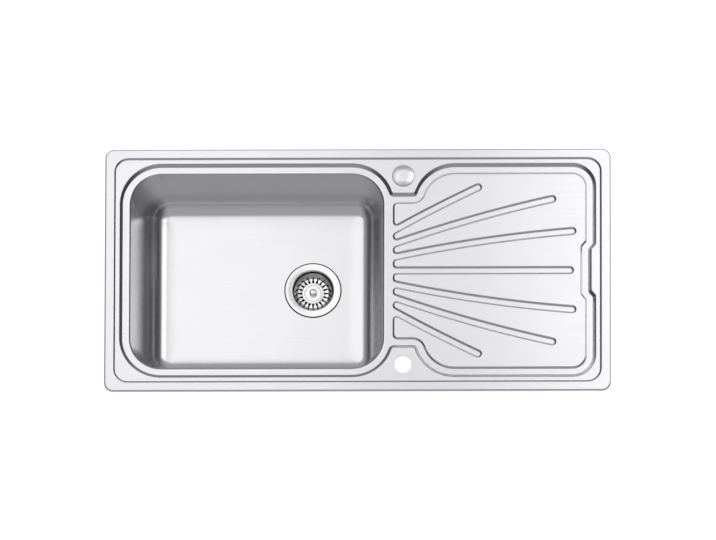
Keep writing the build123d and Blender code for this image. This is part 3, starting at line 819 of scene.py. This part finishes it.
def shade(tree, factor, dark, pale):
    """Colour that follows a factor from dark to pale."""
    ramp = tree.nodes.new("ShaderNodeValToRGB")
    for stop, position, color in zip(ramp.color_ramp.elements, NOISE_SPREAD, (dark, pale)):
        stop.position = position
        stop.color = (*color, 1)
    tree.links.new(factor, ramp.inputs["Fac"])
    return ramp.outputs["Color"]


def tones(color, shares):
    """Darker and paler versions of a colour."""
    return [[min(1.0, share * part) for part in color] for share in shares]


def bump(tree, shader, factor, strength, distance):
    """Relief from a factor."""
    relief = tree.nodes.new("ShaderNodeBump")
    relief.inputs["Strength"].default_value = strength
    relief.inputs["Distance"].default_value = distance
    tree.links.new(factor, relief.inputs["Height"])
    tree.links.new(relief.outputs["Normal"], shader.inputs["Normal"])


def brushed_steel(name, color, roughness, grain):
    """Satin steel, brushed in lines along the axes that the grain leaves long."""
    material, tree, shader, place = new_material(name, color, 1.0, roughness)
    lines = noise(tree, place, 1.0, grain, GRAIN_DETAIL)
    tree.links.new(shade(tree, lines, *tones(color, GRAIN_TONES)), shader.inputs["Base Color"])
    cloud = noise(tree, place, CLOUD_SCALE)
    sheen = between(tree, cloud, *[share * roughness for share in SHEEN_SPREAD])
    tree.links.new(sheen, shader.inputs["Roughness"])
    bump(tree, shader, lines, GRAIN_STRENGTH, GRAIN_DEPTH)
    return material


def painted_shade_below(material, top, bottom):
    """Darkens a finish from a top level down to a bottom level: painted shade deep in a hollow."""
    tree = material.node_tree
    shader = tree.nodes["Principled BSDF"]
    level = tree.nodes.new("ShaderNodeSeparateXYZ")
    place = tree.nodes.new("ShaderNodeTexCoord").outputs["Object"]
    tree.links.new(place, level.inputs[0])
    share = tree.nodes.new("ShaderNodeMapRange")
    share.inputs["From Min"].default_value = bottom
    share.inputs["From Max"].default_value = top
    tree.links.new(level.outputs["Z"], share.inputs["Value"])
    mix = tree.nodes.new("ShaderNodeMix")
    mix.data_type = "RGBA"
    mix.inputs["A"].default_value = (*PAINTED_SHADE, 1)
    unshaded = shader.inputs["Base Color"].links[0].from_socket
    tree.links.new(share.outputs[0], mix.inputs["Factor"])
    tree.links.new(unshaded, mix.inputs["B"])
    tree.links.new(mix.outputs["Result"], shader.inputs["Base Color"])
    return material


def moulded(name, color, roughness, grain_scale, grain_depth):
    """Plastic, rubber or foam with a fine skin and an uneven tone."""
    material, tree, shader, place = new_material(name, color, 0.0, roughness)
    cloud = noise(tree, place, MOTTLE_SCALE)
    tree.links.new(shade(tree, cloud, *tones(color, MOTTLE_TONES)), shader.inputs["Base Color"])
    skin = noise(tree, place, grain_scale, detail=SKIN_DETAIL)
    bump(tree, shader, skin, SKIN_STRENGTH, grain_depth)
    return material


finishes = {
    "satin_steel": brushed_steel("satin_steel", (0.88, 0.872, 0.91), 0.24, ALONG_X),
    "bowl_steel": brushed_steel("bowl_steel", (0.865, 0.86, 0.885), 0.22, ALONG_X),
    "bright_steel": brushed_steel("bright_steel", (0.87, 0.87, 0.88), 0.16, FINE),
    "zinc_steel": brushed_steel("zinc_steel", (0.62, 0.63, 0.65), 0.42, FINE),
    "white_plastic": moulded("white_plastic", (0.78, 0.78, 0.76), 0.45, 500.0, 0.0001),
    "grey_plastic": moulded("grey_plastic", (0.16, 0.165, 0.17), 0.4, 500.0, 0.0001),
    "black_rubber": moulded("black_rubber", (0.025, 0.025, 0.026), 0.55, 700.0, 0.0001),
    "grey_foam": moulded("grey_foam", (0.12, 0.12, 0.125), 0.9, 900.0, 0.0006),
    "damping_pad": moulded("damping_pad", (0.06, 0.06, 0.062), 0.8, 350.0, 0.0004),
    "brass": brushed_steel("brass", (0.78, 0.58, 0.30), 0.3, FINE),
}


def finish(piece, slot):
    """Gives a piece the finish of a material slot."""
    piece.data.materials.clear()
    piece.data.materials.append(finishes[slot])


for subpart in frame["record"]["subparts"]:
    finish(nodes[subpart["node"]], subpart["material_slot"])

# ---- Pieces -------------------------------------------------------------------------


def place(piece, node, body, slot):
    """Puts a piece in the place of a node, with the finish of a slot."""
    finish(piece, slot)
    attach(piece, body)
    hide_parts(node)


place(make_deck(), "deck", "root", "satin_steel")
place(make_bowl(), "bowl", "root", "bowl_steel")
cup = make_cup()
place(cup, "strainer_cup", "root", "bright_steel")
# the cup's steel is darkened with depth: painted shade, which makes the basket's slots look dark
cup_steel = brushed_steel("cup_steel", (0.87, 0.87, 0.88), 0.16, FINE)
painted_shade_top = BOWL_FLOOR - 0.5 * SHEET
cup.data.materials[0] = painted_shade_below(cup_steel, painted_shade_top, BOWL_FLOOR - BASKET_RIM_DEPTH)
place(make_flange_seal(), "flange_seal", "root", "black_rubber")
place(make_basket(), "basket", "basket", "bright_steel")
place(make_knob(), "basket_knob", "basket", "bright_steel")
place(make_cap(), "tap_hole_cap", "root", "satin_steel")

# ---- Floor, light and camera --------------------------------------------------------

FLOOR_SIZE = 60.0
FLOOR_GAP = 0.001
FLOOR_TONE = 0.9
CAMERA_GLOW = 0.85  # adds to the lit floor up to white
MIRROR_GLOW = 0.15  # as the steel mirrors it

bpy.ops.mesh.primitive_plane_add(size=FLOOR_SIZE, location=(0, 0, cad_box[0][2] - FLOOR_GAP))
floor = bpy.context.object
floor.name = "floor"


def pale_floor():
    """Matt white floor with a soft shadow, which the camera sees as white."""
    material = bpy.data.materials.new("pale_floor")
    material.use_nodes = True
    tree = material.node_tree
    tree.nodes.remove(tree.nodes["Principled BSDF"])
    matt = tree.nodes.new("ShaderNodeBsdfDiffuse")
    matt.inputs["Color"].default_value = (FLOOR_TONE, FLOOR_TONE, FLOOR_TONE, 1)
    rays = tree.nodes.new("ShaderNodeLightPath")
    seen = None
    for name, share in (
        ("Is Camera Ray", CAMERA_GLOW),
        ("Is Transmission Ray", CAMERA_GLOW),
        ("Is Glossy Ray", MIRROR_GLOW),
    ):
        part = tree.nodes.new("ShaderNodeMath")
        part.operation = "MULTIPLY_ADD"
        part.inputs[1].default_value = share
        part.inputs[2].default_value = 0
        tree.links.new(rays.outputs[name], part.inputs[0])
        if seen:
            tree.links.new(seen, part.inputs[2])
        seen = part.outputs[0]
    glow = tree.nodes.new("ShaderNodeEmission")
    tree.links.new(seen, glow.inputs["Strength"])
    both = tree.nodes.new("ShaderNodeAddShader")
    tree.links.new(matt.outputs[0], both.inputs[0])
    tree.links.new(glow.outputs[0], both.inputs[1])
    tree.links.new(both.outputs[0], tree.nodes["Material Output"].inputs["Surface"])
    return material


floor.data.materials.append(pale_floor())

WALL_TONE = 0.38
END_TONE = 0.08
END_TURN = (0.35, 0.85)  # shares of a direction along X between the walls and the ends
LOW_SHARE = 0.5  # of the tone, at the foot of the walls
LOW_TURN = (0.15, 0.6)  # shares of a direction along Z between the foot and the full tone


def studio_world():
    """Surroundings that the steel mirrors: pale walls and ceiling, dark ends, darker low down."""
    surroundings = bpy.data.worlds.new("studio")
    surroundings.use_nodes = True
    tree = surroundings.node_tree
    direction = tree.nodes.new("ShaderNodeTexCoord").outputs["Generated"]
    parts = tree.nodes.new("ShaderNodeSeparateXYZ")
    tree.links.new(direction, parts.inputs[0])
    along_x = tree.nodes.new("ShaderNodeMath")
    along_x.operation = "ABSOLUTE"
    tree.links.new(parts.outputs["X"], along_x.inputs[0])
    tone = tree.nodes.new("ShaderNodeMapRange")
    tone.interpolation_type = "SMOOTHSTEP"
    tone.inputs["From Min"].default_value = END_TURN[0]
    tone.inputs["From Max"].default_value = END_TURN[1]
    tone.inputs["To Min"].default_value = WALL_TONE
    tone.inputs["To Max"].default_value = END_TONE
    tree.links.new(along_x.outputs[0], tone.inputs["Value"])
    low = tree.nodes.new("ShaderNodeMapRange")
    low.interpolation_type = "SMOOTHSTEP"
    low.inputs["From Min"].default_value = LOW_TURN[0]
    low.inputs["From Max"].default_value = LOW_TURN[1]
    low.inputs["To Min"].default_value = LOW_SHARE
    low.inputs["To Max"].default_value = 1
    tree.links.new(parts.outputs["Z"], low.inputs["Value"])
    both = tree.nodes.new("ShaderNodeMath")
    both.operation = "MULTIPLY"
    tree.links.new(tone.outputs[0], both.inputs[0])
    tree.links.new(low.outputs[0], both.inputs[1])
    tree.nodes["Background"].inputs["Color"].default_value = (1, 1, 1, 1)
    tree.links.new(both.outputs[0], tree.nodes["Background"].inputs["Strength"])
    return surroundings


bpy.context.scene.world = studio_world()


def soft_box(name, place, target, length, width, power):
    """Rectangular lamp that shines from its place to its target."""
    lamp = bpy.data.lights.new(name, "AREA")
    lamp.shape = "RECTANGLE"
    lamp.size = length
    lamp.size_y = width
    lamp.energy = power
    box = bpy.data.objects.new(name, lamp)
    box.location = place
    box.rotation_euler = (Vector(place) - Vector(target)).to_track_quat("Z", "Y").to_euler()
    box.visible_camera = False
    bpy.context.scene.collection.objects.link(box)


LAMP_HEIGHT = 3.0
LAMP_FRONT = 0.35
LAMP_BACK = 1.7


def overhead(name, left, right, radiance):
    """Lamp over the sink from a left to a right end, as bright everywhere as its radiance."""
    middle = ((left + right) / 2, (LAMP_FRONT + LAMP_BACK) / 2)
    length = right - left
    width = LAMP_BACK - LAMP_FRONT
    power = math.pi * length * width * radiance
    soft_box(name, (*middle, LAMP_HEIGHT), (*middle, 0), length, width, power)


# the gap between the lamps is the soft dark zone across the middle of the sink
overhead("lamp_bowl", -1.0, 0.02, 0.83)
overhead("lamp_drainer", 0.26, 2.3, 1.03)

CAMERA_DISTANCE = 45.0
CAMERA_TILT = math.radians(17.3)  # off the vertical, to the front
CAMERA_TURN = math.radians(3.0)  # to the right
CAMERA_ROLL = math.radians(-3.0)
CAMERA_CLIP_END = 200.0
VIEW_WIDTH = 1.415  # seen across the image at the sink
SENSOR_WIDTH = 36.0
VIEW_CENTRE = Vector((0.0006, 0.0008, 0))

view = bpy.data.cameras.new("camera")
view.sensor_width = SENSOR_WIDTH
view.lens = SENSOR_WIDTH * CAMERA_DISTANCE / VIEW_WIDTH
view.clip_end = CAMERA_CLIP_END
camera = bpy.data.objects.new("camera", view)
bpy.context.scene.collection.objects.link(camera)
aim = (
    Matrix.Rotation(CAMERA_TURN, 4, "Z")
    @ Matrix.Rotation(CAMERA_TILT, 4, "X")
    @ Matrix.Rotation(CAMERA_ROLL, 4, "Z")
)
camera.matrix_world = Matrix.Translation(VIEW_CENTRE) @ aim @ Matrix.Translation(
    (0, 0, CAMERA_DISTANCE)
)
bpy.context.scene.camera = camera
bpy.context.scene.view_settings.view_transform = "Standard"
